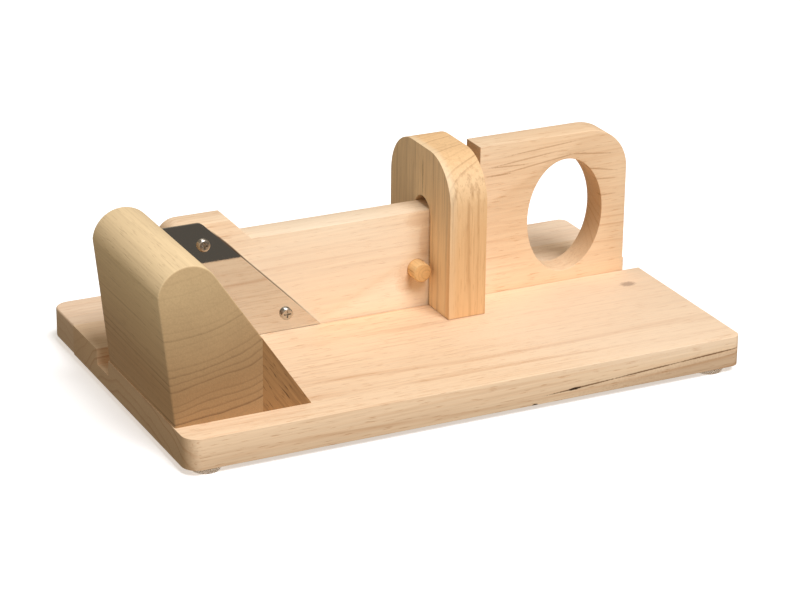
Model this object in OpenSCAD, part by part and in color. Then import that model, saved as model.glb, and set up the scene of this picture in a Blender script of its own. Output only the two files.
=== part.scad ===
// Wooden push slicer: a board with a fixed palm grip, and a pusher board that slides in a groove
// behind the grip. The pusher carries a slanted blade that shears along the grip's rear face.
// Lengths are in mm. X runs along the board, Y from front to rear, Z up.
// Every piece is drawn from the board's left front lower corner and then moved by seat(),
// which puts the origin under the middle of the whole object, on the surface it stands on.

/* [Base board] */
// Length of the board
board_l = 300; // [280:1:340]
// Width of the board, front to rear
board_w = 184; // [176:1:220]
// Thickness of the board
board_t = 16; // [15:0.5:20]
// Corner radius at the left end
corner_left_r = 8; // [4:0.5:9]
// Corner radius at the right end
corner_right_r = 5; // [3:0.5:9]
// Distance from the front edge to the glue line between the two boards
glue_line_y = 152; // [148:1:160]
// Depth of the guide groove
groove_depth = 8.1; // [6:0.1:9]
// Width of the guide groove
groove_w = 16; // [15:0.1:17]
// Distance from the front edge to the groove
groove_y = 102.4; // [98:0.1:103]

/* [Palm grip] */
// Distance from the board's front edge to the grip's front face
grip_y = 16; // [10:1:24]
// Radius of the rounded top that the palm rests on
grip_r = 15.5; // [14:0.5:16]
// Place of the rounded top's centre along the board
grip_top_x = 8.8; // [8:0.1:12]
// Height of the rounded top's centre above the board's underside
grip_top_z = 80; // [74:1:82]
// Left lower edge of the grip along the board
grip_foot_x = 0.5; // [0:0.5:4]
// Glue joint between the grip and its toe wedge
grip_joint_x = 45; // [42:0.5:50]
// Right lower end of the toe wedge
toe_x = 70; // [66:0.5:72]

/* [Blade] */
// Thickness of the blade
blade_t = 1; // [0.8:0.1:1.2]
// Angle of the blade's long edges to the board
slant_angle = 45; // [43:0.5:47]
// Place of the cutting edge along the board, where its line meets the board's top
cutting_x = 68; // [64:0.5:68]
// Place of the blade's back edge along the board, where its line meets the board's top
blade_back_x = 114.2; // [112:0.1:116]
// Height of the blade's top edge above the board's underside
blade_top_z = 80.6; // [79:0.2:82]
// Radius of the blade's blunt upper corner
blade_corner_r = 5; // [2:0.5:9]
// Width of the ground bevel along the cutting edge
bevel_w = 3; // [1.5:0.5:5]
// Diameter of the blade screws' heads
blade_screw_head_d = 6.4; // [5.5:0.1:7]

/* [Pusher board] */
// Place of the slanted left end along the board, where its line meets the board's top
pusher_left_x = 83.5; // [80:0.5:86]
// Place of the slanted step down from the blade end, where its line meets the board's top
pusher_slope_x = 128.7; // [126:0.1:130]
// Height of the end that carries the blade
pusher_blade_z = 79.4; // [78:0.2:80]
// Radius of that end's pointed upper corner
pusher_nose_r = 9; // [4:0.5:11]
// Height of the pusher's long middle stretch
pusher_mid_z = 67.9; // [64:0.1:69]
// Height of the tall end
pusher_tall_z = 97; // [92:1:100]
// Place of the step up to the tall end
pusher_step_x = 203.5; // [202:0.5:206]
// Right end of the pusher
pusher_end_x = 290; // [286:1:296]
// Radius of the tall end's outer corner
pusher_corner_r = 23; // [15:1:30]
// Middle of the oval hand hold along the board
hold_x = 253.9; // [250:0.5:256]
// Middle of the oval hand hold above the board's underside
hold_z = 52.7; // [51:0.1:55]
// Width of the oval hand hold
hold_w = 44; // [40:1:46]
// Height of the oval hand hold
hold_h = 61.6; // [58:0.2:62]
// Gap on each side of the pusher in its groove
slide_gap = 0.3; // [0.3:0.05:0.4]

/* [Saddle and peg] */
// Left face of the saddle
saddle_x = 174.8; // [174.7:0.1:176]
// Thickness of the saddle along the board
saddle_t = 20.7; // [18:0.1:21]
// Distance from the board's front edge to the saddle's front face
saddle_y = 79; // [76:1:82]
// Width of the saddle, front to rear
saddle_w = 68.2; // [64:0.2:72]
// Height of the saddle's top above the board's underside
saddle_top_z = 99.4; // [94:0.2:102]
// Radius of the saddle's two upper corners
saddle_corner_r = 24; // [10:1:26]
// Width of the arched slot over the pusher
saddle_slot_w = 18.4; // [17.6:0.2:20]
// Height of the arch's crown above the board's underside
saddle_slot_z = 72.8; // [71:0.2:75]
// Diameter of the peg
peg_d = 10; // [8:0.5:10]
// Place of the peg along the board
peg_x = 168; // [166:0.5:168]
// Height of the peg above the board's underside
peg_z = 37; // [32:1:44]
// Length of the peg in front of the pusher
peg_out = 7.5; // [5:0.5:12]

/* [Feet] */
// Diameter of a clear bumper foot
foot_d = 16; // [12:0.5:16]
// Height of a foot
foot_h = 3.5; // [2.5:0.1:5]
// Inset of the left feet from the board's left end
foot_left_in = 12.5; // [8.5:0.5:14]
// Inset of the right feet from the board's right end
foot_right_in = 13.5; // [9:0.5:20]
// Inset of all feet from the front and rear edges
foot_side_in = 9; // [8.5:0.5:14]

/* [Hidden] */
$fn = 96;

// Radial room round a fixed screw, and round the peg that can be pulled out
screw_room = 0.05;
peg_room = 0.06;
// Overshoot of a cutting shape past the face it cuts
past = 1;

groove_z = board_t - groove_depth;
pusher_y = groove_y + slide_gap;
pusher_t = groove_w - 2 * slide_gap;
pusher_z = groove_z + slide_gap;
blade_y = pusher_y - blade_t;
blade_z = board_t + slide_gap;
grip_rear_y = blade_y - slide_gap;
saddle_z = board_t + slide_gap;

// Screws: blade screws lie along Y, the others stand along Z with heads in the underside
blade_screw_at = [[50.8, 68.8], [94.8, 25.2]];
blade_screw_d = 3.5;
blade_screw_l = 13;
blade_screw_head_h = 1.9;
base_screw_d = 4;
base_screw_head_d = 8;
base_screw_head_h = 2.4;
base_screw_sink = 0.6;
grip_screw_l = 45;
grip_screw_at = [[16, 34], [34, 59], [16, 84]];

wood = [0.88, 0.74, 0.56];
end_grain = [0.74, 0.56, 0.38];
steel = [0.8, 0.82, 0.84];
clear = [0.9, 0.94, 0.95, 0.5];

// Place along the board, at height z, of a slanted line that meets the board's top at x
function slant(x, z) = x - (z - board_t) / tan(slant_angle);

// Point where a line from p touches the circle (c, r); side is 1 for the left, -1 for the right
function touch(p, c, r, side) =
    let (d = norm(c - p),
         a = atan2(c[1] - p[1], c[0] - p[0]) + side * asin(r / d),
         l = sqrt(d * d - r * r))
    p + l * [cos(a), sin(a)];

// Moves the whole object so that its origin is at the bottom centre
module seat() {
    left_end = grip_top_x - grip_r;
    translate([-(board_l + left_end) / 2, -board_w / 2, foot_h]) children();
}

// Stands a flat X-Z outline up as a board from y, with thickness t towards the rear
module upright(y, t) {
    translate([0, y + t, 0]) rotate([90, 0, 0]) linear_extrude(t) children();
}

// Waste outside a rounded corner whose sharp point is at the origin
module corner_waste(r) {
    difference() {
        translate([-past, -past]) square(r + past);
        translate([r, r]) circle(r);
    }
}

// A cylinder along Y from the front
module rod_y(x, y, z, d, l) {
    translate([x, y, z]) rotate([-90, 0, 0]) cylinder(d = d, h = l);
}

/* ---- Base ---- */

module board_outline() {
    difference() {
        square([board_l, board_w]);
        corner_waste(corner_left_r);
        translate([0, board_w]) mirror([0, 1]) corner_waste(corner_left_r);
        translate([board_l, 0]) mirror([1, 0]) corner_waste(corner_right_r);
        translate([board_l, board_w]) rotate(180) corner_waste(corner_right_r);
    }
}

module board_slice(y0, y1) {
    linear_extrude(board_t) intersection() {
        board_outline();
        translate([-past, y0]) square([board_l + 2 * past, y1 - y0]);
    }
}

// Countersunk screw pointing up, its head's flat just inside the underside
module base_screw(l, room = 0) {
    r = base_screw_d / 2 + room;
    head_r = base_screw_head_d / 2 + room;
    sink = base_screw_sink - room;
    rotate_extrude() polygon([[0, sink], [head_r, sink], [head_r, sink + 0.4],
                              [r, sink + base_screw_head_h], [r, l - 4], [0, l + room]]);
}

// Everything a screw of length l removes from the wood, with the counterbore to its head
module base_screw_hole(l) {
    base_screw(l, screw_room);
    translate([0, 0, -past])
        cylinder(d = base_screw_head_d + 2 * screw_room, h = past + base_screw_sink);
}

module screws_at(places) {
    for (p = places) translate([p[0], p[1], 0]) children();
}

module base_front_board() color(wood) seat() difference() {
    board_slice(0, glue_line_y);
    translate([-past, groove_y, groove_z])
        cube([board_l + 2 * past, groove_w, groove_depth + past]);
    screws_at(grip_screw_at) base_screw_hole(grip_screw_l);
}

module base_rear_board() color(wood) seat() board_slice(glue_line_y, board_w);

/* ---- Palm grip ---- */

grip_top = [grip_top_x, grip_top_z];
grip_foot = [grip_foot_x, board_t];
toe = [toe_x, board_t];
slope_top = touch(toe, grip_top, grip_r, -1);
left_top = touch(grip_foot, grip_top, grip_r, 1);
// Height of the slope where the grip meets its toe wedge
joint_z = board_t + (toe_x - grip_joint_x)
          * (slope_top[1] - board_t) / (toe_x - slope_top[0]);

module grip_block() color(wood) seat() difference() {
    upright(grip_y, grip_rear_y - grip_y) union() {
        translate(grip_top) circle(grip_r);
        polygon([grip_foot, [grip_joint_x, board_t], [grip_joint_x, joint_z],
                 slope_top, grip_top, left_top]);
    }
    screws_at(grip_screw_at) base_screw_hole(grip_screw_l);
}

module grip_toe_wedge() color(end_grain) seat()
    upright(grip_y, grip_rear_y - grip_y)
        polygon([[grip_joint_x, board_t], toe, [grip_joint_x, joint_z]]);

module grip_screw(i) color(steel) seat() screws_at([grip_screw_at[i]]) base_screw(grip_screw_l);

/* ---- Blade ---- */

// Parallelogram of steel with sharp points at the upper left and lower right
module blade_outline() {
    corner_z = blade_top_z - blade_corner_r;
    corner_x = slant(blade_back_x, corner_z) - blade_corner_r / sin(slant_angle);
    arc_end = [corner_x, corner_z] + blade_corner_r * [sin(slant_angle), cos(slant_angle)];
    polygon([[slant(cutting_x, blade_z), blade_z], [slant(blade_back_x, blade_z), blade_z],
             arc_end, [corner_x, corner_z], [corner_x, blade_top_z],
             [slant(cutting_x, blade_top_z), blade_top_z]]);
    translate([corner_x, corner_z]) circle(blade_corner_r);
}

module blade_screw_holes() {
    for (p = blade_screw_at)
        rod_y(p[0], blade_y - past, p[1], blade_screw_d + 2 * screw_room,
              blade_screw_l + past + screw_room);
}

// Steel ground off the rear face, drawn across the cutting edge and run along it
module bevel_waste() {
    translate([cutting_x, blade_y, board_t]) rotate([0, 90 + slant_angle, 0])
        translate([0, 0, -2 * blade_top_z]) linear_extrude(3 * blade_top_z)
            polygon([[-bevel_w, blade_t], [-bevel_w, blade_t + past],
                     [past, blade_t + past], [past, 0]]);
}

module blade() color(steel) seat() difference() {
    upright(blade_y, blade_t) blade_outline();
    bevel_waste();
    blade_screw_holes();
}

// Pan-head screw along Y with a cross recess
module blade_screw(i) color(steel) seat() {
    recess_l = 3.6;
    recess_t = 0.8;
    recess_depth = 1.1;
    dome_r = (pow(blade_screw_head_d / 2, 2) + pow(blade_screw_head_h, 2))
             / (2 * blade_screw_head_h);
    translate([blade_screw_at[i][0], blade_y, blade_screw_at[i][1]]) difference() {
        union() {
            rod_y(0, 0, 0, blade_screw_d, blade_screw_l);
            intersection() {
                translate([0, dome_r - blade_screw_head_h, 0]) sphere(dome_r);
                rod_y(0, -blade_screw_head_h, 0, blade_screw_head_d, blade_screw_head_h);
            }
        }
        for (turn = [20, 110])
            rotate([0, turn, 0])
                translate([-recess_l / 2, -blade_screw_head_h - past, -recess_t / 2])
                    cube([recess_l, past + recess_depth, recess_t]);
    }
}

/* ---- Pusher ---- */

// Oval hole for the fingers, an ellipse of straight steps
module hand_hold() {
    steps = 72;
    polygon([for (i = [0 : steps - 1])
             let (turn = i * 360 / steps) [hold_w / 2 * cos(turn), hold_h / 2 * sin(turn)]]);
}

// Blade end, low middle that the saddle stands over, and tall end with the hand hold
module pusher_outline() {
    nose_z = pusher_blade_z - pusher_nose_r;
    nose_x = slant(pusher_left_x, nose_z) + pusher_nose_r / sin(slant_angle);
    nose_end = [nose_x, nose_z] - pusher_nose_r * [sin(slant_angle), cos(slant_angle)];
    translate([nose_x, nose_z]) circle(pusher_nose_r);
    difference() {
        polygon([[slant(pusher_left_x, pusher_z), pusher_z], [pusher_end_x, pusher_z],
                 [pusher_end_x, pusher_tall_z], [pusher_step_x, pusher_tall_z],
                 [pusher_step_x, pusher_mid_z],
                 [slant(pusher_slope_x, pusher_mid_z), pusher_mid_z],
                 [slant(pusher_slope_x, pusher_blade_z), pusher_blade_z],
                 [nose_x, pusher_blade_z], [nose_x, nose_z], nose_end]);
        translate([pusher_end_x, pusher_tall_z]) rotate(180) corner_waste(pusher_corner_r);
        translate([hold_x, hold_z]) hand_hold();
    }
}

module pusher_board() color(wood) seat() difference() {
    upright(pusher_y, pusher_t) pusher_outline();
    rod_y(peg_x, pusher_y - past, peg_z, peg_d + 2 * peg_room, pusher_t + 2 * past);
    blade_screw_holes();
}

/* ---- Saddle and peg ---- */

// Outline in Y and Z: two legs that stand on the board astride the pusher
module saddle_outline() {
    slot_y = pusher_y + pusher_t / 2;
    slot_r = saddle_slot_w / 2;
    difference() {
        translate([saddle_y, saddle_z]) square([saddle_w, saddle_top_z - saddle_z]);
        translate([saddle_y, saddle_top_z]) mirror([0, 1]) corner_waste(saddle_corner_r);
        translate([saddle_y + saddle_w, saddle_top_z]) rotate(180)
            corner_waste(saddle_corner_r);
        translate([slot_y, saddle_slot_z - slot_r]) circle(slot_r);
        translate([slot_y - slot_r, 0]) square([saddle_slot_w, saddle_slot_z - slot_r]);
    }
}

module saddle() color(wood) seat()
    translate([saddle_x, 0, 0]) rotate([90, 0, 90]) linear_extrude(saddle_t) saddle_outline();

module saddle_peg() color(wood) seat()
    rod_y(peg_x, pusher_y - peg_out, peg_z, peg_d, pusher_t + peg_out);

/* ---- Feet ---- */

foot_at = [[foot_left_in, foot_side_in], [board_l - foot_right_in, foot_side_in],
           [foot_left_in, board_w - foot_side_in],
           [board_l - foot_right_in, board_w - foot_side_in]];

// Clear dome stuck to the underside, flattened where it rests
module foot(i) color(clear) seat() {
    rest_r = 0.85 * foot_d / 2;
    drop = (pow(foot_d / 2, 2) - pow(rest_r, 2) - pow(foot_h, 2)) / (2 * foot_h);
    dome_r = norm([foot_d / 2, drop]);
    translate([foot_at[i][0], foot_at[i][1], 0]) intersection() {
        translate([0, 0, drop]) sphere(dome_r);
        translate([0, 0, -foot_h]) cylinder(d = foot_d, h = foot_h);
    }
}

base_front_board();
base_rear_board();
grip_block();
grip_toe_wedge();
blade();
blade_screw(0);  // blade_screw_upper
blade_screw(1);  // blade_screw_lower
grip_screw(0);  // grip_screw_front
grip_screw(1);  // grip_screw_middle
grip_screw(2);  // grip_screw_rear
pusher_board();
saddle();
saddle_peg();
foot(0);  // foot_front_left
foot(1);  // foot_front_right
foot(2);  // foot_rear_left
foot(3);  // foot_rear_right
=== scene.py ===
import math

import bmesh
import bpy
from mathutils import Matrix, Vector


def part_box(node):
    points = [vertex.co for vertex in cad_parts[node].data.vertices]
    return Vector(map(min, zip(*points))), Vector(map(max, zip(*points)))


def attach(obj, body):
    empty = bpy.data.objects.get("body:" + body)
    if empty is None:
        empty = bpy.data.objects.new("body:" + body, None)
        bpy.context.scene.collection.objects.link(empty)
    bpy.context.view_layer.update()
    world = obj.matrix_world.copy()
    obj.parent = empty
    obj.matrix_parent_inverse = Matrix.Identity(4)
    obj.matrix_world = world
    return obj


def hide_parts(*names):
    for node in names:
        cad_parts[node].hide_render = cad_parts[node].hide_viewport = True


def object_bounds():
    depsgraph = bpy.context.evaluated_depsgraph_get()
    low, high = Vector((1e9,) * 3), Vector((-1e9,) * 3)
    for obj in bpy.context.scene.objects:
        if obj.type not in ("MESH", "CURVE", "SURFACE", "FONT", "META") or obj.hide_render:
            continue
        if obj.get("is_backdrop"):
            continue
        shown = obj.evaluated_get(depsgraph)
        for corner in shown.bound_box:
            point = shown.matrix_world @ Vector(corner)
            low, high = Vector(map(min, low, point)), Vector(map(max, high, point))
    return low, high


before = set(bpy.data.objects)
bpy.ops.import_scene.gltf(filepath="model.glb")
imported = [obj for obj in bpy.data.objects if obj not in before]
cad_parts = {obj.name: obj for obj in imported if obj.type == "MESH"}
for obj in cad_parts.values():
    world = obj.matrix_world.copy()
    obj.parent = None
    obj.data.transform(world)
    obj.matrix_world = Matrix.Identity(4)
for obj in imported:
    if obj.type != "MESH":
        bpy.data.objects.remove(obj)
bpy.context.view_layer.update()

bpy.ops.object.select_all(action="DESELECT")


# ---- Camera ----
# It stands to the left in front of the slicer and looks down on it at about 22 degrees,
# from far enough away that the board's edges stay nearly parallel.
camera = bpy.data.objects.new("camera", bpy.data.cameras.new("camera"))
bpy.context.scene.collection.objects.link(camera)
camera.data.lens = 128.2
camera.data.sensor_width = 36
turn = Matrix.Rotation(math.radians(-26.32), 4, "Z")
tip_down = Matrix.Rotation(math.radians(90 - 22.31), 4, "X")
roll = Matrix.Rotation(math.radians(0.67), 4, "Z")
camera.matrix_world = Matrix.Translation((-0.5848, -1.1963, 0.5771)) @ turn @ tip_down @ roll
bpy.context.scene.camera = camera


# ---- Studio ----
# A pale floor under one broad soft lamp, above and in front, and a dim warm surround, so that
# left-facing sides fall into shade.
def srgb(red, green, blue):
    """A colour given as on a screen, 0 to 255, as the linear values that shaders take."""
    return tuple((c / 255 / 12.92 if c < 11 else ((c / 255 + 0.055) / 1.055) ** 2.4)
                 for c in (red, green, blue)) + (1,)


def plain(name, colour, roughness):
    """A stage material, for what isn't part of the slicer."""
    material = bpy.data.materials.new(name)
    material.use_nodes = True
    shader = material.node_tree.nodes["Principled BSDF"]
    shader.inputs["Base Color"].default_value = colour
    shader.inputs["Roughness"].default_value = roughness
    return material


bpy.ops.mesh.primitive_plane_add(size=8)
floor = bpy.context.object
floor.name = "floor"
pale_floor = plain("pale_floor", srgb(250, 250, 250), 0.9)
pale_floor.node_tree.nodes["Principled BSDF"].inputs["Emission Color"].default_value = (1, 1, 1, 1)
pale_floor.node_tree.nodes["Principled BSDF"].inputs["Emission Strength"].default_value = 0.45
floor.data.materials.append(pale_floor)
floor.visible_diffuse = False
floor.visible_glossy = False
floor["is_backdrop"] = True

# A dark card lies in front of the board. Only reflections see it, above all the blade's.
bpy.ops.mesh.primitive_plane_add(size=1, location=(0, -0.5, 0.0005))
card = bpy.context.object
card.name = "dark_card"
card.scale = (1.6, 0.75, 1)
card.data.materials.append(plain("dark_card", srgb(64, 58, 47), 0.8))
card.visible_camera = False
card.visible_diffuse = False
card.visible_shadow = False
card.visible_transmission = False
card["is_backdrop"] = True

key = bpy.data.objects.new("key", bpy.data.lights.new("key", "SUN"))
bpy.context.scene.collection.objects.link(key)
key.data.angle = math.radians(30)
key.data.energy = 2.85
key.data.color = (0.99, 1.0, 1.05)
key.rotation_euler = Vector((-0.1, 0.56, -0.82)).to_track_quat("-Z", "Y").to_euler()
bpy.context.scene.world = bpy.data.worlds.new("surround")
bpy.context.scene.world.use_nodes = True
surround = bpy.context.scene.world.node_tree.nodes["Background"]
surround.inputs["Color"].default_value = (1, 0.89, 0.72, 1)
surround.inputs["Strength"].default_value = 0.3
bpy.context.scene.view_settings.view_transform = "Standard"


# ---- Base boards ----
# Two planed boards of pale rubberwood, edge-glued to one panel. The wide one in front has the
# guide groove routed along it. All outer edges are eased by hand sanding.
mm = 0.001
board_low, board_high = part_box("base_front_board")
rear_low, rear_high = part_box("base_rear_board")
pusher_low, pusher_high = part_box("pusher_board")
slide_gap = 0.3 * mm
edge_ease = 1.1 * mm
left_corner_r = 8 * mm
right_corner_r = 5 * mm
sink_r = 4.05 * mm


def block(name, low, high):
    """A box from its low corner to its high one, with its place in its mesh."""
    bpy.ops.object.select_all(action="DESELECT")
    bpy.ops.mesh.primitive_cube_add(size=1, location=(low + high) / 2, scale=high - low)
    bpy.ops.object.transform_apply(location=True, rotation=True, scale=True)
    bpy.context.object.name = name
    return bpy.context.object


def rod(name, middle, radius_x, radius_z, length, sides=64):
    """A rod along Y, round or oval."""
    bpy.ops.object.select_all(action="DESELECT")
    bpy.ops.mesh.primitive_cylinder_add(vertices=sides, radius=1, depth=length, location=middle,
                                        rotation=(math.pi / 2, 0, 0),
                                        scale=(radius_x, radius_z, 1))
    bpy.ops.object.transform_apply(location=True, rotation=True, scale=True)
    bpy.context.object.name = name
    return bpy.context.object


def cut(piece, tool):
    """Cuts the tool's shape out of the piece and throws the tool away."""
    boolean = piece.modifiers.new("cut", "BOOLEAN")
    boolean.operation = "DIFFERENCE"
    boolean.solver = "EXACT"
    boolean.object = tool
    bpy.context.view_layer.objects.active = piece
    bpy.ops.object.modifier_apply(modifier=boolean.name)
    bpy.data.objects.remove(tool)
    edit(piece)
    bpy.ops.mesh.select_all(action="SELECT")
    bpy.ops.mesh.remove_doubles(threshold=0.2 * mm)
    bpy.ops.object.mode_set(mode="OBJECT")


def edit(piece):
    """Opens a piece for work on its mesh, with nothing selected."""
    bpy.ops.object.select_all(action="DESELECT")
    piece.select_set(True)
    bpy.context.view_layer.objects.active = piece
    bpy.ops.object.mode_set(mode="EDIT")
    bpy.ops.mesh.select_all(action="DESELECT")


def pick(kind, test):
    """Selects each vertex, edge or face whose middle passes the test."""
    bpy.ops.mesh.select_all(action="DESELECT")
    bpy.ops.mesh.select_mode(type=kind)
    mesh = bmesh.from_edit_mesh(bpy.context.object.data)
    parts = {"VERT": mesh.verts, "EDGE": mesh.edges, "FACE": mesh.faces}[kind]
    for part in parts:
        corners = [part.co] if kind == "VERT" else [v.co for v in part.verts]
        if test(sum(corners, Vector()) / len(corners)):
            part.select_set(True)
    if kind == "VERT":
        mesh.select_flush(True)
    bmesh.update_edit_mesh(bpy.context.object.data)


def round_over(radius, segments, test):
    """Rounds the edges whose middle passes the test."""
    pick("EDGE", test)
    bpy.ops.mesh.bevel(offset=radius, offset_type="OFFSET", segments=segments, affect="EDGES")


def ease(piece, width, test=lambda middle: True, segments=3):
    """Eases the sharp edges whose middle passes the test, and smooths the piece."""
    edit(piece)
    bpy.ops.mesh.select_mode(type="EDGE")
    bpy.ops.mesh.edges_select_sharp(sharpness=math.radians(25))
    mesh = bmesh.from_edit_mesh(piece.data)
    for edge in mesh.edges:
        if edge.select and not test((edge.verts[0].co + edge.verts[1].co) / 2):
            edge.select_set(False)
    bmesh.update_edit_mesh(piece.data)
    bpy.ops.mesh.bevel(offset=width, offset_type="OFFSET", segments=segments,
                       affect="EDGES", clamp_overlap=True)
    bpy.ops.object.mode_set(mode="OBJECT")
    bpy.ops.object.shade_smooth_by_angle(angle=math.radians(35))


front_board = block("front_board", board_low, board_high)
edit(front_board)
round_over(left_corner_r, 10, lambda m: m.x < board_low.x + mm and m.y < board_low.y + mm
           and abs(m.z - (board_low.z + board_high.z) / 2) < mm)
round_over(right_corner_r, 8, lambda m: m.x > board_high.x - mm and m.y < board_low.y + mm
           and abs(m.z - (board_low.z + board_high.z) / 2) < mm)
bpy.ops.object.mode_set(mode="OBJECT")
groove_low = Vector((board_low.x - mm, pusher_low.y - slide_gap, pusher_low.z - slide_gap))
groove_high = Vector((board_high.x + mm, pusher_high.y + slide_gap, board_high.z + mm))
cut(front_board, block("groove", groove_low, groove_high))
for screw in ("grip_screw_front", "grip_screw_middle", "grip_screw_rear"):
    low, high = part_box(screw)
    middle = (low + high) / 2
    bpy.ops.object.select_all(action="DESELECT")
    bpy.ops.mesh.primitive_cylinder_add(vertices=48, radius=sink_r, depth=6 * mm,
                                        location=(middle.x, middle.y, board_low.z))
    bpy.ops.object.transform_apply(location=True, rotation=True, scale=True)
    cut(front_board, bpy.context.object)
ease(front_board, edge_ease, lambda m: m.y < board_high.y - 0.1 * mm)

rear_board = block("rear_board", rear_low, rear_high)
edit(rear_board)
round_over(left_corner_r, 10, lambda m: m.x < rear_low.x + mm and m.y > rear_high.y - mm
           and abs(m.z - (rear_low.z + rear_high.z) / 2) < mm)
round_over(right_corner_r, 8, lambda m: m.x > rear_high.x - mm and m.y > rear_high.y - mm
           and abs(m.z - (rear_low.z + rear_high.z) / 2) < mm)
bpy.ops.object.mode_set(mode="OBJECT")
ease(rear_board, edge_ease, lambda m: m.y > rear_low.y + 0.1 * mm)


def put(tree, kind, wires, **settings):
    """Adds a node: wires gives each input its value or the socket that feeds it."""
    made = tree.nodes.new(kind)
    for key, value in settings.items():
        setattr(made, key, value)
    for key, value in wires.items():
        if isinstance(value, bpy.types.NodeSocket):
            tree.links.new(value, made.inputs[key])
        else:
            made.inputs[key].default_value = value
    return made


def calc(tree, operation, *values):
    """A sum on numbers or sockets."""
    return put(tree, "ShaderNodeMath", dict(enumerate(values)), operation=operation).outputs[0]


def ramp(tree, value, *stops):
    """A grey ramp through (place, brightness) stops."""
    made = put(tree, "ShaderNodeValToRGB", {"Fac": value})
    points = made.color_ramp.elements
    while len(points) < len(stops):
        points.new(0.5)
    for point, (place, level) in zip(points, stops):
        point.position = place
        point.color = (level, level, level, 1)
    return made.outputs["Color"]


def tint(tree, amount, below, above, mode="MIX"):
    """Mixes two colours, or lays the second over the first in the given mode."""
    made = put(tree, "ShaderNodeMix", {0: amount, 6: below, 7: above},
               data_type="RGBA", blend_type=mode)
    return made.outputs[2]


def fibre_noise(tree, place, scale, length, seed, detail=2.0):
    """Noise whose spots are drawn out along the grain, to 1 / length of their width."""
    drawn = put(tree, "ShaderNodeMapping",
                {"Vector": place, "Scale": (1, 1, length), "Location": (seed, 0, seed)})
    made = put(tree, "ShaderNodeTexNoise",
               {"Vector": drawn.outputs[0], "Scale": scale, "Detail": detail})
    return made.outputs["Fac"]


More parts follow.
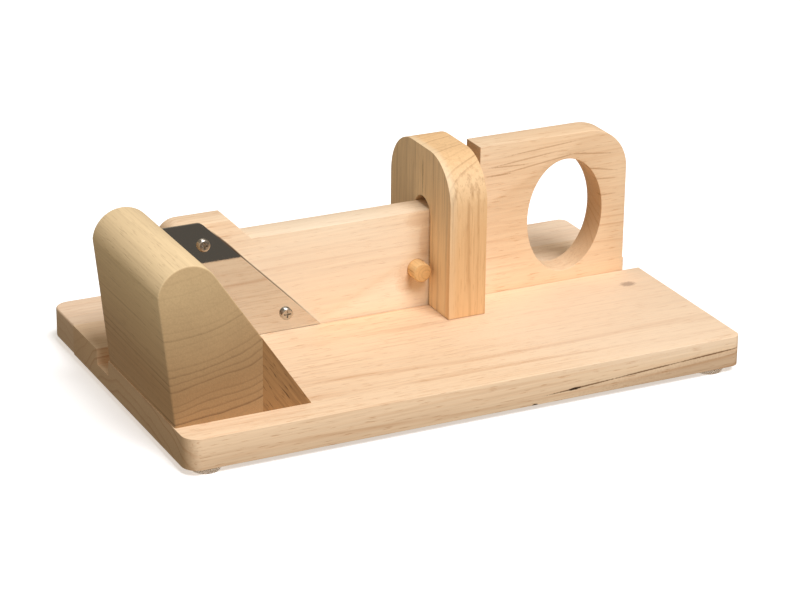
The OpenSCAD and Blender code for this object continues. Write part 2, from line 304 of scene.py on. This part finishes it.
def wood(name, grain, pith, pale, dark, ring, contrast=0.5, wander=0.02, seed=0.0,
         lean=(0, 0), end_shade=0.75, deep=None, pores=0.4, streak=0.3):
    """Solid wood: growth rings round a pith line, streaks, pores and browner end grain.
    grain turns the fibres to Z, and deep is a browner colour that the wood takes on away
    from the pith, with its start and full depth as distances from the pith."""
    material = bpy.data.materials.new(name)
    material.use_nodes = True
    tree = material.node_tree
    shader = tree.nodes["Principled BSDF"]
    shader.inputs["Specular IOR Level"].default_value = 0.25
    spin = (grain[0] + lean[0], grain[1] + lean[1], grain[2])
    place = put(tree, "ShaderNodeTexCoord", {})
    from_pith = put(tree, "ShaderNodeVectorMath", {0: place.outputs["Object"], 1: pith},
                    operation="SUBTRACT")
    turned = put(tree, "ShaderNodeMapping",
                 {"Vector": from_pith.outputs[0], "Rotation": spin}).outputs[0]
    # The distance from the pith, pushed in and out by slow waves, tells which ring this is
    flat = put(tree, "ShaderNodeVectorMath", {0: turned, 1: (1, 1, 0)}, operation="MULTIPLY")
    radius = put(tree, "ShaderNodeVectorMath", {0: flat.outputs[0]}, operation="LENGTH")
    waves = calc(tree, "SUBTRACT", fibre_noise(tree, turned, 11.0, 0.16, seed), 0.5)
    depth = calc(tree, "MULTIPLY_ADD", waves, wander * 2, radius.outputs["Value"])
    uneven = fibre_noise(tree, turned, 45.0, 0.08, seed)
    turns = calc(tree, "ADD", calc(tree, "DIVIDE", depth, ring), uneven)
    line = ramp(tree, calc(tree, "FRACT", turns),
                (0.0, 0.0), (0.6, 0.06), (0.84, 1.0), (0.9, 0.9), (0.98, 0.0))
    chance = put(tree, "ShaderNodeTexWhiteNoise",
                 {"W": calc(tree, "ADD", calc(tree, "FLOOR", turns), seed)},
                 noise_dimensions="1D").outputs["Value"]
    chance = calc(tree, "POWER", chance, 1.3)
    broken = ramp(tree, fibre_noise(tree, turned, 240.0, 0.05, seed, 3.0),
                  (0.38, 0.15), (0.62, 1.0))
    streaks = ramp(tree, fibre_noise(tree, turned, 520.0, 0.03, seed + 1, 4.0),
                   (0.5, 0.0), (0.75, 1.0))
    pits = ramp(tree, fibre_noise(tree, turned, 1500.0, 0.07, seed, 1.0), (0.62, 0.0), (0.72, 1.0))
    patches = ramp(tree, fibre_noise(tree, turned, 26.0, 0.15, seed),
                   (0.3, min(contrast, 0.45)), (0.7, 0.0))
    fibres = fibre_noise(tree, turned, 1100.0, 0.02, seed, 4.0)
    # Cut across the fibres, wood takes up more oil and turns browner, and streaks become dots
    facing = put(tree, "ShaderNodeMapping", {"Vector": place.outputs["Normal"], "Rotation": spin})
    across = put(tree, "ShaderNodeSeparateXYZ", {"Vector": facing.outputs[0]})
    end_part = ramp(tree, calc(tree, "ABSOLUTE", across.outputs["Z"]), (0.3, 0.0), (0.95, 1.0))
    long_part = calc(tree, "SUBTRACT", 1.0, calc(tree, "MULTIPLY", end_part, 0.75))
    broken = tint(tree, calc(tree, "MULTIPLY", end_part, 0.8), broken, (0.8, 0.8, 0.8, 1))
    marked = calc(tree, "MULTIPLY", calc(tree, "MULTIPLY", line, chance), broken)
    streaks = calc(tree, "MULTIPLY", streaks, long_part)
    pits = calc(tree, "MULTIPLY", pits, long_part)
    colour = pale
    if deep:
        browning = calc(tree, "DIVIDE", calc(tree, "SUBTRACT", depth, deep[1]), deep[2] - deep[1])
        browning = ramp(tree, browning, (0.0, 0.0), (1.0, 1.0))
        colour = tint(tree, browning, pale, deep[0])
        marked = calc(tree, "MULTIPLY", marked, calc(tree, "MULTIPLY_ADD", browning, 0.85, 0.15))
    middle = tint(tree, 0.3, colour, dark)
    colour = tint(tree, patches, colour, middle)
    colour = tint(tree, calc(tree, "MULTIPLY", marked, contrast), colour, dark)
    colour = tint(tree, calc(tree, "MULTIPLY", streaks, streak), colour, dark)
    colour = tint(tree, calc(tree, "MULTIPLY", pits, pores), colour, dark)
    colour = tint(tree, 1.0, colour, ramp(tree, fibres, (0.3, 0.93), (0.7, 1.03)), "MULTIPLY")
    shade = (end_shade, end_shade * 0.93, end_shade * 0.84, 1)
    colour = tint(tree, end_part, colour, tint(tree, 1.0, colour, shade, "MULTIPLY"))
    tree.links.new(colour, shader.inputs["Base Color"])
    gloss = put(tree, "ShaderNodeMapRange", {"Value": fibres, "To Min": 0.48, "To Max": 0.66})
    tree.links.new(gloss.outputs[0], shader.inputs["Roughness"])
    relief = calc(tree, "MULTIPLY_ADD", pits, -0.7, fibres)
    bump = put(tree, "ShaderNodeBump", {"Height": relief, "Distance": 0.00012, "Strength": 0.6})
    tree.links.new(bump.outputs[0], shader.inputs["Normal"])
    return material


def mark(material, middle, reach, colour, tilt=0.0, strength=1.0, ragged=0.6):
    """Puts an oval mark into wood, such as a knot or one dark grain line, tilted about Y."""
    tree = material.node_tree
    target = tree.nodes["Principled BSDF"].inputs["Base Color"]
    under = target.links[0].from_socket
    place = put(tree, "ShaderNodeTexCoord", {})
    rough_edge = put(tree, "ShaderNodeTexNoise",
                     {"Vector": place.outputs["Object"], "Scale": 900.0})
    local = put(tree, "ShaderNodeMapping",
                {"Vector": place.outputs["Object"], "Location": middle,
                 "Rotation": (0, tilt, 0), "Scale": reach}, vector_type="TEXTURE")
    far = put(tree, "ShaderNodeVectorMath", {0: local.outputs[0]}, operation="LENGTH")
    edge = calc(tree, "ADD", far.outputs["Value"],
                calc(tree, "MULTIPLY", calc(tree, "SUBTRACT", rough_edge.outputs["Fac"], 0.5),
                     ragged))
    amount = ramp(tree, edge, (0.55, strength), (1.0, 0.0))
    tree.links.new(tint(tree, amount, under, colour), target)


along_x = (0, math.pi / 2, 0)
along_y = (math.pi / 2, 0, 0)
along_z = (0, 0, 0)
pale_wood = srgb(252, 221, 184)
ring_wood = srgb(206, 152, 104)
board_wood = wood("front_board_wood", along_x, (0, -0.02, -0.075), pale_wood, ring_wood, 5 * mm,
                  contrast=0.6, lean=(0, 0.02), seed=0.2, pores=0.55)
# A small knot near the right end, in wood that turns paler there
mark(board_wood, (0.136, -0.008, board_high.z), (5.2 * mm, 3.6 * mm, 3 * mm), srgb(146, 106, 76))
mark(board_wood, (0.125, -0.03, board_high.z), (0.12, 0.1, 8 * mm), srgb(253, 230, 203),
     strength=0.4)
# One dark grain line climbs along the front face to the right end, with a slit in it and a
# chip at the lower edge
for x, z in ((63 * mm, 8.6 * mm), (98 * mm, 10.5 * mm), (134 * mm, 12.4 * mm)):
    mark(board_wood, (x, board_low.y, z), (24 * mm, 3 * mm, 0.5 * mm), srgb(118, 80, 46),
         tilt=-0.053, strength=0.85)
mark(board_wood, (board_high.x, board_low.y, board_low.z), (0.12, 4 * mm, 12 * mm),
     srgb(150, 108, 72), tilt=-0.053, strength=0.3)
mark(board_wood, (0.0573, board_low.y, 8.3 * mm), (4.5 * mm, 3 * mm, 0.8 * mm), srgb(60, 40, 24),
     tilt=-0.053)
mark(board_wood, (0.0355, board_low.y, board_low.z), (2 * mm, 2 * mm, 1 * mm), srgb(80, 56, 34))
front_board.data.materials.append(board_wood)
rear_board.data.materials.append(
    wood("rear_board_wood", along_x, (0, 0.09, -0.12), srgb(253, 226, 196), ring_wood, 5 * mm,
         contrast=0.35, seed=0.4))
for board, node in ((front_board, "base_front_board"), (rear_board, "base_rear_board")):
    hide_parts(node)
    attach(board, "base")


# ---- Palm grip ----
# One block with its grain running front to rear, so that its faces show the end grain's arcs.
# Its top is rounded for the palm, and its right side slopes down to the board.
grip_low, grip_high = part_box("grip_block")
toe_low, toe_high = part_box("grip_toe_wedge")
grip_r = 15.5 * mm
grip_lean = 7.2 * mm
grip_top = Vector((grip_low.x + grip_r, grip_low.y, grip_high.z - grip_r))
grip_foot = Vector((grip_low.x + grip_lean, grip_low.y, grip_low.z))
slope_angle = math.atan2(toe_high.z - toe_low.z, toe_high.x - toe_low.x)
lean_angle = math.atan2(6.2 * mm, 64 * mm)
joint_top = Vector((toe_low.x, grip_low.y, toe_high.z))

bpy.ops.object.select_all(action="DESELECT")
bpy.ops.mesh.primitive_circle_add(vertices=120, radius=grip_r, location=grip_top,
                                  rotation=(math.pi / 2, 0, 0))
bpy.ops.object.transform_apply(location=True, rotation=True, scale=True)
grip = bpy.context.object
grip.name = "palm_grip"
edit(grip)


def off_the_arc(point):
    """True below the places where the sides leave the rounded top."""
    out = point - grip_top
    angle = math.degrees(math.atan2(out.z, out.x))
    return not 90 - math.degrees(slope_angle) <= angle <= 180 - math.degrees(lean_angle)


pick("VERT", off_the_arc)
bpy.ops.mesh.delete(type="VERT")


def draw_on(start, *stops):
    """Draws straight lines on from the loose end nearest to start."""
    mesh = bmesh.from_edit_mesh(bpy.context.object.data)
    ends = [v for v in mesh.verts if len(v.link_edges) == 1]
    end = min(ends, key=lambda v: (v.co - start).length)
    bpy.ops.mesh.select_all(action="DESELECT")
    end.select_set(True)
    here = end.co.copy()
    bmesh.update_edit_mesh(bpy.context.object.data)
    for stop in stops:
        bpy.ops.mesh.extrude_vertices_move(TRANSFORM_OT_translate={"value": stop - here})
        here = stop


draw_on(joint_top, joint_top, Vector((joint_top.x, grip_low.y, grip_low.z)))
draw_on(grip_foot, grip_foot)
bpy.ops.mesh.select_all(action="SELECT")
bpy.ops.mesh.edge_face_add()
bpy.ops.mesh.extrude_region_move(
    TRANSFORM_OT_translate={"value": (0, grip_high.y - grip_low.y, 0)})
bpy.ops.mesh.select_all(action="SELECT")
bpy.ops.mesh.normals_make_consistent(inside=False)
bpy.ops.object.mode_set(mode="OBJECT")
ease(grip, 0.8 * mm, lambda m: m.x < joint_top.x - 0.1 * mm and m.z > grip_low.z + 0.1 * mm)
# The grip's wood turns browner towards the bottom, where it meets the board
grip.data.materials.append(
    wood("grip_wood", along_y, (grip_low.x + 6 * mm, 0, 0.155), srgb(255, 226, 178),
         srgb(92, 58, 38), 3.6 * mm, contrast=0.75, wander=0.006, end_shade=0.69,
         deep=(srgb(212, 172, 126), 0.07, 0.12), pores=0.15, streak=0.1))
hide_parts("grip_block")
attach(grip, "base")


# ---- Toe wedge ----
# A darker offcut of hardwood, sawn to a triangle and glued to the grip's right side, so that the
# slope runs on down to the board. Its grain follows the slope.
wedge = block("toe_wedge", toe_low, toe_high)
edit(wedge)
bpy.ops.mesh.select_all(action="SELECT")
bpy.ops.mesh.bisect(plane_co=(toe_low.x, toe_low.y, toe_high.z), use_fill=True, clear_outer=True,
                    plane_no=(math.sin(slope_angle), 0, math.cos(slope_angle)))
bpy.ops.object.mode_set(mode="OBJECT")
ease(wedge, 0.6 * mm, lambda m: m.x > toe_low.x + 0.1 * mm and m.z > toe_low.z + 0.1 * mm)
along_slope = (0, math.pi / 2 - slope_angle, 0)
wedge.data.materials.append(
    wood("wedge_wood", along_slope, (toe_low.x - 0.02, -0.06, toe_low.z - 0.03),
         srgb(162, 120, 76), srgb(66, 42, 24), 3 * mm, contrast=0.5, wander=0.02, seed=1.3,
         streak=0.5, pores=0.8))
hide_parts("grip_toe_wedge")
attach(wedge, "base")


# ---- Pusher board ----
# Sawn to outline from one long board: a raised end for the blade, a low middle that the saddle
# stands over, and a tall end with an oval hand hold. A dowel hole takes the peg.
nose_r = 21.7 * mm
tall_end_r = 23 * mm
hold_w = 44 * mm
hold_h = 61.6 * mm
peg_hole_r = 5.06 * mm
nose_z = pusher_low.z + 71.2 * mm
middle_z = pusher_low.z + 59.7 * mm
step_x = pusher_high.x - 86.5 * mm
nose_tip_x = pusher_low.x - 12.7 * mm
slope_foot_x = nose_tip_x + 56.7 * mm
hold_middle = Vector((pusher_high.x - 36.1 * mm, 0, pusher_low.z + 44.5 * mm))
peg_low, peg_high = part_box("saddle_peg")
pusher_t = pusher_high.y - pusher_low.y

bpy.ops.object.select_all(action="DESELECT")
bpy.ops.mesh.primitive_plane_add(
    size=1, rotation=(math.pi / 2, 0, 0),
    location=((nose_tip_x + pusher_high.x) / 2, pusher_low.y, (pusher_low.z + pusher_high.z) / 2))
bpy.ops.transform.resize(value=(pusher_high.x - nose_tip_x, 1, pusher_high.z - pusher_low.z))
bpy.ops.object.transform_apply(location=True, rotation=True, scale=True)
pusher = bpy.context.object
pusher.name = "pusher"
edit(pusher)


def saw(point, normal, drop=False):
    """Saws the outline along a line, and drops the offcut on the normal's side if asked."""
    bpy.ops.mesh.select_all(action="SELECT")
    bpy.ops.mesh.bisect(plane_co=point, plane_no=normal, clear_outer=drop)


saw((nose_tip_x, 0, nose_z), (-1, 0, -1), drop=True)
saw((0, 0, nose_z), (0, 0, 1))
saw((0, 0, middle_z), (0, 0, 1))
saw((step_x, 0, 0), (1, 0, 0))
saw((slope_foot_x, 0, middle_z), (1, 0, 1))
pick("FACE", lambda m: m.x < step_x and (m.z > nose_z or (
    m.z > middle_z and m.x + m.z > slope_foot_x + middle_z)))
bpy.ops.mesh.delete(type="FACE")
bpy.ops.mesh.select_all(action="SELECT")
bpy.ops.mesh.dissolve_limited(angle_limit=math.radians(1))
pick("VERT", lambda m: m.x > pusher_high.x - mm and m.z > pusher_high.z - mm)
bpy.ops.mesh.bevel(offset=tall_end_r, segments=20, affect="VERTICES")
pick("VERT", lambda m: m.x < nose_tip_x + mm and m.z > nose_z - mm)
bpy.ops.mesh.bevel(offset=nose_r, segments=16, affect="VERTICES", profile=0.41)
bpy.ops.mesh.select_all(action="SELECT")
bpy.ops.mesh.extrude_region_move(TRANSFORM_OT_translate={"value": (0, pusher_t, 0)})
bpy.ops.mesh.select_all(action="SELECT")
bpy.ops.mesh.normals_make_consistent(inside=False)
bpy.ops.object.mode_set(mode="OBJECT")
board_middle_y = (pusher_low.y + pusher_high.y) / 2
cut(pusher, rod("hand_hold", (hold_middle.x, board_middle_y, hold_middle.z),
                hold_w / 2, hold_h / 2, 2 * pusher_t, sides=120))
peg_middle = (peg_low + peg_high) / 2
cut(pusher, rod("peg_hole", (peg_middle.x, board_middle_y, peg_middle.z),
                peg_hole_r, peg_hole_r, 2 * pusher_t))
ease(pusher, 0.7 * mm)
pusher_wood = wood("pusher_wood", along_x, (0, 0.09, -0.05), srgb(253, 225, 189), ring_wood,
                   4.5 * mm, contrast=0.6, seed=2.7, lean=(0, 0.02), pores=0.55)
# Long dark grain lines sweep over the tall end
for x, z, long, tilt in ((94, 95, 26, -0.07), (84, 90.5, 24, -0.09), (92, 87, 30, -0.12),
                         (74, 88, 14, 0.04), (122, 88, 17, 0.12), (126, 79, 14, 0.2),
                         (130, 73, 10, 0.08), (68, 84, 9, 0.0), (128, 64, 11, 0.0)):
    mark(pusher_wood, (x * mm, pusher_low.y, z * mm), (long * mm, 6 * mm, 0.5 * mm),
         srgb(150, 100, 58), tilt=tilt, strength=0.5)
# The blade's end is painted paler, a painted light, and the tall end browner, a painted shade
mark(pusher_wood, (-0.03, pusher_low.y, 0.03), (0.1, 0.05, 0.07), srgb(255, 240, 216),
     strength=0.45, ragged=0.1)
mark(pusher_wood, (0.115, pusher_low.y, 0.06), (0.07, 0.05, 0.08), srgb(236, 188, 138),
     strength=0.3, ragged=0.1)
# Scuffed and browner where the saddle and the peg have rubbed
for x, z, wide, high in ((17, 39, 9, 6), (15, 33, 6, 5), (22, 67, 9, 5), (26, 55, 4, 12)):
    mark(pusher_wood, (x * mm, pusher_low.y, z * mm), (wide * mm, 3 * mm, high * mm),
         srgb(206, 156, 104), strength=0.3)
# A dark line of painted shadow runs along the blade's back, thicker near its top
blade_low, blade_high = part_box("blade")
back_foot = Vector((blade_high.x, pusher_low.y, blade_low.z))
back_tip = Vector((back_foot.x - (blade_high.z - blade_low.z) + 3 * mm, pusher_low.y,
                   blade_high.z - 3 * mm))
mark(pusher_wood, (back_foot + back_tip) / 2, (45 * mm, 2 * mm, 0.8 * mm), srgb(92, 66, 44),
     tilt=math.pi / 4, strength=0.8, ragged=0.1)
# Painted shadow, darker and wider near the blade's top
mark(pusher_wood, back_tip.lerp(back_foot, 0.2), (16 * mm, 2 * mm, 1.1 * mm), srgb(70, 52, 36),
     tilt=math.pi / 4, strength=0.9, ragged=0.1)
pusher.data.materials.append(pusher_wood)
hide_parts("pusher_board")
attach(pusher, "pusher")


# ---- Saddle ----
# A short upright block with an arched slot, which stands astride the pusher. Its upper
# corners are cut to wide arcs and all its edges are well rounded by sanding.
saddle_low, saddle_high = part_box("saddle")
saddle_r = 24 * mm
slot_r = 9.2 * mm
slot_h = 56.5 * mm
rounded_d = 24.1 * mm
saddle = block("saddle_arch", saddle_low, saddle_high)
edit(saddle)
round_over(saddle_r, 20, lambda m: m.z > saddle_high.z - mm
           and abs(m.x - (saddle_low.x + saddle_high.x) / 2) < mm)
bpy.ops.object.mode_set(mode="OBJECT")
slot_low = Vector((saddle_low.x - mm, board_middle_y - slot_r, saddle_low.z - mm))
slot_high = Vector((saddle_high.x + mm, board_middle_y + slot_r, saddle_low.z + slot_h))
slot = block("slot", slot_low, slot_high)
edit(slot)
round_over(slot_r * 0.999, 16, lambda m: m.z > slot_high.z - mm
           and abs(m.x - (saddle_low.x + saddle_high.x) / 2) < mm)
bpy.ops.object.mode_set(mode="OBJECT")
cut(saddle, slot)
ease(saddle, 2.2 * mm, lambda m: m.y < saddle_low.y + rounded_d
     or m.y > saddle_high.y - rounded_d or m.z > saddle_high.z - mm, segments=5)
saddle_wood = wood("saddle_wood", along_z, (0.09, -0.11, 0), srgb(254, 218, 170),
                   srgb(138, 88, 48), 3.2 * mm, contrast=0.5, wander=0.006, seed=3.9, pores=0.3,
                   streak=0.65, end_shade=0.98)
# Its left face is painted paler, a painted light, and its front darker towards the foot, a painted
# shade
mark(saddle_wood, (saddle_low.x, board_middle_y, 0.05), (5 * mm, 0.08, 0.12),
     srgb(255, 236, 200), strength=0.4, ragged=0.2)
mark(saddle_wood, (saddle_high.x, saddle_low.y, saddle_low.z), (0.045, 6 * mm, 0.085),
     srgb(222, 168, 108), strength=0.5, ragged=0.2)
# A dark seam runs up from the slot's crown, and painted shade darkens the slot under it
crown = Vector((saddle_low.x, board_middle_y, slot_high.z))
mark(saddle_wood, crown + Vector((0, 0, 11 * mm)), (1.5 * mm, 0.35 * mm, 13 * mm),
     srgb(96, 62, 34), strength=0.8)
# Painted shade in the slot under the crown
mark(saddle_wood, crown + Vector((10 * mm, 0, -3 * mm)), (13 * mm, 11 * mm, 5 * mm),
     srgb(84, 54, 32), strength=0.6)
saddle.data.materials.append(saddle_wood)
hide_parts("saddle")
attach(saddle, "saddle")


# ---- Peg ----
# A length of hardwood dowel, a push fit in the pusher, with the edges of its ends just broken
# with sandpaper. Drawn to the front, it frees the saddle.
peg_r = 5 * mm
peg = rod("peg", peg_middle, peg_r, peg_r, peg_high.y - peg_low.y)
ease(peg, 0.8 * mm)
peg.data.materials.append(
    wood("peg_wood", along_y, (peg_middle.x + 0.002, 0, peg_middle.z - 0.001),
         srgb(246, 204, 144), srgb(150, 98, 54), 1.8 * mm, seed=5.1, end_shade=0.9, wander=0.001))
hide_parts("saddle_peg")
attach(peg, "peg")


# ---- Blade ----
# A slanted plate of stainless steel, ground to an edge on its left side and polished to a
# mirror, with very fine polishing lines. Two screws hold it to the front of the pusher.
def steel(name, colour, roughness, line_scale):
    """Polished steel: lines along the object's length change only its gloss and relief."""
    material = bpy.data.materials.new(name)
    material.use_nodes = True
    tree = material.node_tree
    shader = tree.nodes["Principled BSDF"]
    shader.inputs["Base Color"].default_value = colour
    shader.inputs["Metallic"].default_value = 1
    place = put(tree, "ShaderNodeTexCoord", {})
    drawn = put(tree, "ShaderNodeMapping",
                {"Vector": place.outputs["Object"], "Rotation": (0, math.pi / 4, 0)})
    thin = put(tree, "ShaderNodeMapping", {"Vector": drawn.outputs[0], "Scale": (0.02, 1, 1)})
    lines = put(tree, "ShaderNodeTexNoise",
                {"Vector": thin.outputs[0], "Scale": line_scale, "Detail": 3.0})
    gloss = put(tree, "ShaderNodeMapRange",
                {"Value": lines.outputs["Fac"], "To Min": roughness, "To Max": roughness * 2})
    tree.links.new(gloss.outputs[0], shader.inputs["Roughness"])
    bump = put(tree, "ShaderNodeBump",
               {"Height": lines.outputs["Fac"], "Distance": 0.00001, "Strength": 0.15})
    tree.links.new(bump.outputs[0], shader.inputs["Normal"])
    return material


def finish_node(node, material):
    """Gives a CAD node that keeps its own shape its finish."""
    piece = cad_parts[node]
    piece.data.materials.clear()
    piece.data.materials.append(material)


finish_node("blade", steel("blade_steel", srgb(218, 214, 207), 0.012, 2500.0))


# ---- Screws ----
# Two plated pan-head screws with a cross recess hold the blade. Three countersunk ones come up
# through the board into the grip, so only their flat heads show, on the underside.
screw_steel = steel("screw_steel", srgb(196, 190, 180), 0.2, 900.0)
upper_low, upper_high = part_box("blade_screw_upper")
lower_low, lower_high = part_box("blade_screw_lower")
upper_middle = (upper_low + upper_high) / 2
head_r = (upper_high.x - upper_low.x) / 2
head_h = 1.9 * mm
shank_r = 1.75 * mm
recess_bottom = Vector((upper_middle.x, upper_low.y + 1.1 * mm, upper_middle.z))
recess_top = Vector((upper_middle.x, upper_low.y - mm, upper_middle.z))
shank_y = upper_low.y + head_h

upper_screw = rod("pan_head_upper", (upper_middle.x, upper_low.y + head_h / 2, upper_middle.z),
                  head_r, head_r, head_h)
for half_w, half_h in ((1.8 * mm, 0.4 * mm), (0.4 * mm, 1.8 * mm)):
    reach = Vector((half_w, 0, half_h))
    cut(upper_screw, block("recess", recess_top - reach, recess_bottom + reach))
ease(upper_screw, 0.7 * mm, lambda m: m.y < upper_low.y + 0.1 * mm
     and math.hypot(m.x - upper_middle.x, m.z - upper_middle.z) > 0.9 * head_r)
shank = rod("shank", (upper_middle.x, (shank_y + upper_high.y) / 2, upper_middle.z),
            shank_r, shank_r, upper_high.y - shank_y, sides=32)
upper_screw.select_set(True)
bpy.context.view_layer.objects.active = upper_screw
bpy.ops.object.join()
upper_screw.data.materials.append(screw_steel)


def copied(piece, name, offset):
    """A copy of a finished piece at an offset from it, with its own mesh."""
    bpy.ops.object.select_all(action="DESELECT")
    piece.select_set(True)
    bpy.context.view_layer.objects.active = piece
    bpy.ops.object.duplicate_move(TRANSFORM_OT_translate={"value": offset})
    bpy.ops.object.transform_apply(location=True, rotation=True, scale=True)
    bpy.context.object.name = name
    return bpy.context.object


lower_screw = copied(upper_screw, "pan_head_lower", lower_low - upper_low)
for screw, node in ((upper_screw, "blade_screw_upper"), (lower_screw, "blade_screw_lower")):
    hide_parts(node)
    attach(screw, "pusher")

# A countersunk screw is drawn up from the flat of its head to its point
first_low, first_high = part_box("grip_screw_front")
first_middle = (first_low + first_high) / 2
sunk_r = 3.99 * mm
sunk_h = 2.4 * mm
point_h = 4 * mm
bpy.ops.object.select_all(action="DESELECT")
bpy.ops.mesh.primitive_circle_add(vertices=48, radius=sunk_r, fill_type="NGON",
                                  location=(first_middle.x, first_middle.y, first_low.z))
bpy.ops.object.transform_apply(location=True, rotation=True, scale=True)
first_screw = bpy.context.object
first_screw.name = "sunk_screw_front"
edit(first_screw)
bpy.ops.mesh.select_all(action="SELECT")
for rise, narrowing in ((sunk_h, 0.5), (first_high.z - first_low.z - sunk_h - point_h, 1),
                        (point_h, 0.02)):
    bpy.ops.mesh.extrude_region_move(TRANSFORM_OT_translate={"value": (0, 0, rise)})
    bpy.ops.transform.resize(value=(narrowing, narrowing, 1))
bpy.ops.mesh.select_all(action="SELECT")
bpy.ops.mesh.normals_make_consistent(inside=False)
bpy.ops.object.mode_set(mode="OBJECT")
recess_middle = Vector((first_middle.x, first_middle.y, first_low.z))
for half_w, half_d in ((2.2 * mm, 0.5 * mm), (0.5 * mm, 2.2 * mm)):
    cut(first_screw, block("recess", recess_middle - Vector((half_w, half_d, mm)),
                           recess_middle + Vector((half_w, half_d, 1.2 * mm))))
bpy.ops.object.shade_smooth_by_angle(angle=math.radians(35))
first_screw.data.materials.append(screw_steel)
middle_low, middle_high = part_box("grip_screw_middle")
last_low, last_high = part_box("grip_screw_rear")
for screw, node in ((first_screw, "grip_screw_front"),
                    (copied(first_screw, "sunk_screw_middle", middle_low - first_low),
                     "grip_screw_middle"),
                    (copied(first_screw, "sunk_screw_rear", last_low - first_low),
                     "grip_screw_rear")):
    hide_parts(node)
    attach(screw, "base")


# ---- Feet ----
# Four clear domes of soft plastic, stuck under the board's corners so that it doesn't slip.
# Where they are seen edge-on, a painted dark rim darkens their colour.
clear = bpy.data.materials.new("foot_clear")
clear.use_nodes = True
tree = clear.node_tree
shader = tree.nodes["Principled BSDF"]
shader.inputs["Transmission Weight"].default_value = 1
shader.inputs["IOR"].default_value = 1.2
place = put(tree, "ShaderNodeTexCoord", {})
haze = put(tree, "ShaderNodeTexNoise", {"Vector": place.outputs["Object"], "Scale": 400.0})
gloss = put(tree, "ShaderNodeMapRange",
            {"Value": haze.outputs["Fac"], "To Min": 0.0, "To Max": 0.05})
tree.links.new(gloss.outputs[0], shader.inputs["Roughness"])
# A painted dark rim, from how edge-on the surface is seen
rim = put(tree, "ShaderNodeLayerWeight", {"Blend": 0.5})
edge = ramp(tree, rim.outputs["Facing"], (0.84, 0.0), (0.97, 1.0))
tree.links.new(tint(tree, edge, (0.97, 0.98, 0.98, 1), (0.12, 0.12, 0.12, 1)),
               shader.inputs["Base Color"])
for node in ("foot_front_left", "foot_front_right", "foot_rear_left", "foot_rear_right"):
    finish_node(node, clear)


# ---- Size ----
# The visual model's box, from the pieces that are shown.
low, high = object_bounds()
